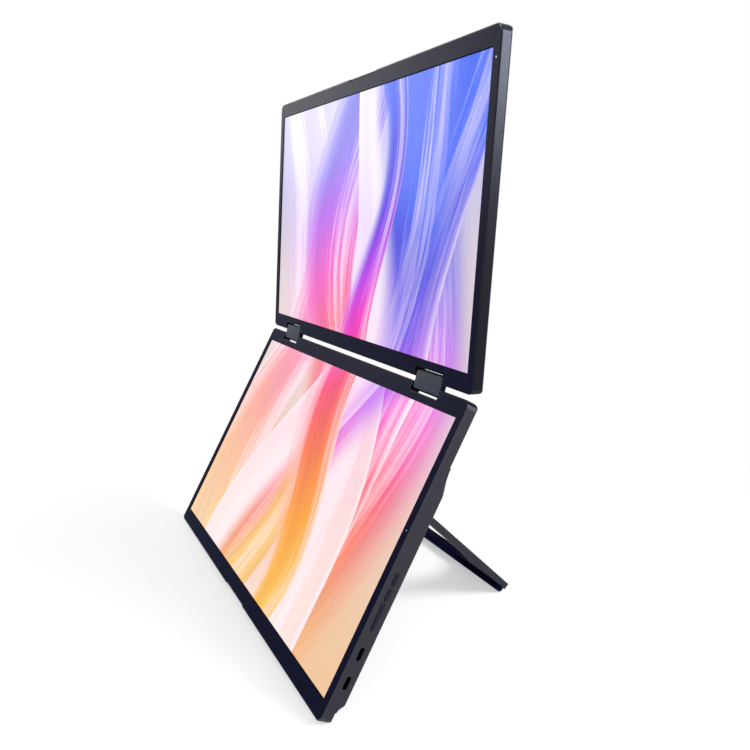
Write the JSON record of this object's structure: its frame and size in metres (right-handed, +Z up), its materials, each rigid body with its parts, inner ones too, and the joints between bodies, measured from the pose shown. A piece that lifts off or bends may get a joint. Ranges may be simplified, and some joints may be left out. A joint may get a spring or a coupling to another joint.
{
  "type": "laptop screen extender",
  "caption": "Two 15.6 inch portable displays stacked on double-axis friction hinges, with a fold-out U-shaped stand, side keys and USB-C sockets.",
  "frame": {"origin": "on the desk, in the middle of the footprint of the bounding box at rest", "axes": "+Z up, -Y towards the user, +X to the user's right; both displays' hinge axes run along X"},
  "size_m": [0.3598, 0.1882, 0.4031],
  "materials": {
    "frame_plastic": "satin, very dark blue-grey",
    "case_shell": "die-cast, anodised dark grey",
    "display_glass": "lit picture behind smooth glass",
    "light_tray": "white reflector and light guide",
    "circuit_board": "solder mask",
    "light_guide": "clear",
    "speaker_plastic": "moulded",
    "insert_brass": "turned",
    "rubber": "matte",
    "hinge_metal": "satin, dark grey",
    "stand_metal": "anodised dark grey",
    "key_plastic": "satin",
    "steel": "plated"
  },
  "bodies": {
    "lower_display": {"lower_bezel": "frame_plastic", "lower_screen": "display_glass", "lower_backlight": "light_tray", "lower_driver_board": "circuit_board", "lower_housing": "case_shell", "lower_hinge_bracket_left": "steel", "lower_hinge_bracket_right": "steel", "lower_status_light": "light_guide", "lower_screws": "steel", "controller_board": "circuit_board", "usb_c_sockets": "steel", "button_board": "circuit_board", "tact_switches": "steel", "speaker_left": "speaker_plastic", "speaker_right": "speaker_plastic", "vesa_plate": "steel", "vesa_inserts": "insert_brass", "vesa_plate_screws": "steel", "corner_bumpers": "rubber", "stand_bracket_left": "hinge_metal", "stand_bracket_right": "hinge_metal", "stand_bracket_screws": "steel"},
    "power_key": {"power_button": "key_plastic"},
    "menu_key": {"menu_button": "key_plastic"},
    "rocker_key": {"rocker_button": "key_plastic"},
    "hinge_links": {"hinge_block_left": "hinge_metal", "hinge_block_right": "hinge_metal", "lower_hinge_shafts": "steel", "upper_hinge_shafts": "steel", "friction_washers": "insert_brass", "shaft_nuts": "steel"},
    "upper_display": {"upper_bezel": "frame_plastic", "upper_screen": "display_glass", "upper_backlight": "light_tray", "upper_driver_board": "circuit_board", "upper_housing": "case_shell", "upper_hinge_bracket_left": "steel", "upper_hinge_bracket_right": "steel", "upper_status_light": "light_guide", "upper_screws": "steel"},
    "stand": {"stand_frame": "stand_metal", "stand_foot": "rubber", "stand_pins": "steel"}
  },
  "joints": [
    {"name": "lower_hinge", "type": "hinge", "parent": "lower_display", "child": "hinge_links", "pos_m": [0, 0.03254, 0.1798], "axis": [1, 0, 0], "range_deg": [-42.6, 77.3]},
    {"name": "upper_hinge", "type": "hinge", "parent": "hinge_links", "child": "upper_display", "pos_m": [0, 0.03634, 0.18905], "axis": [1, 0, 0], "range_deg": [-42.6, 77.3]},
    {"name": "stand_hinge", "type": "hinge", "parent": "lower_display", "child": "stand", "pos_m": [0, 0.00133, 0.11413], "axis": [1, 0, 0], "range_deg": [-74.37, 15.63]},
    {"name": "power_press", "type": "slide", "parent": "lower_display", "child": "power_key", "axis": [-1, 0, 0], "range_m": [0, 0.0003], "stiffness_N_per_m": 1500, "springref_m": -0.0003},
    {"name": "menu_press", "type": "slide", "parent": "lower_display", "child": "menu_key", "axis": [-1, 0, 0], "range_m": [0, 0.0003], "stiffness_N_per_m": 1500, "springref_m": -0.0003},
    {"name": "rocker_tilt", "type": "hinge", "parent": "lower_display", "child": "rocker_key", "pos_m": [0.17755, -0.04763, 0.06112], "axis": [0, 0.8192, -0.5736], "range_deg": [-1.5, 1.5], "stiffness_Nm_per_rad": 0.06}
  ]
}
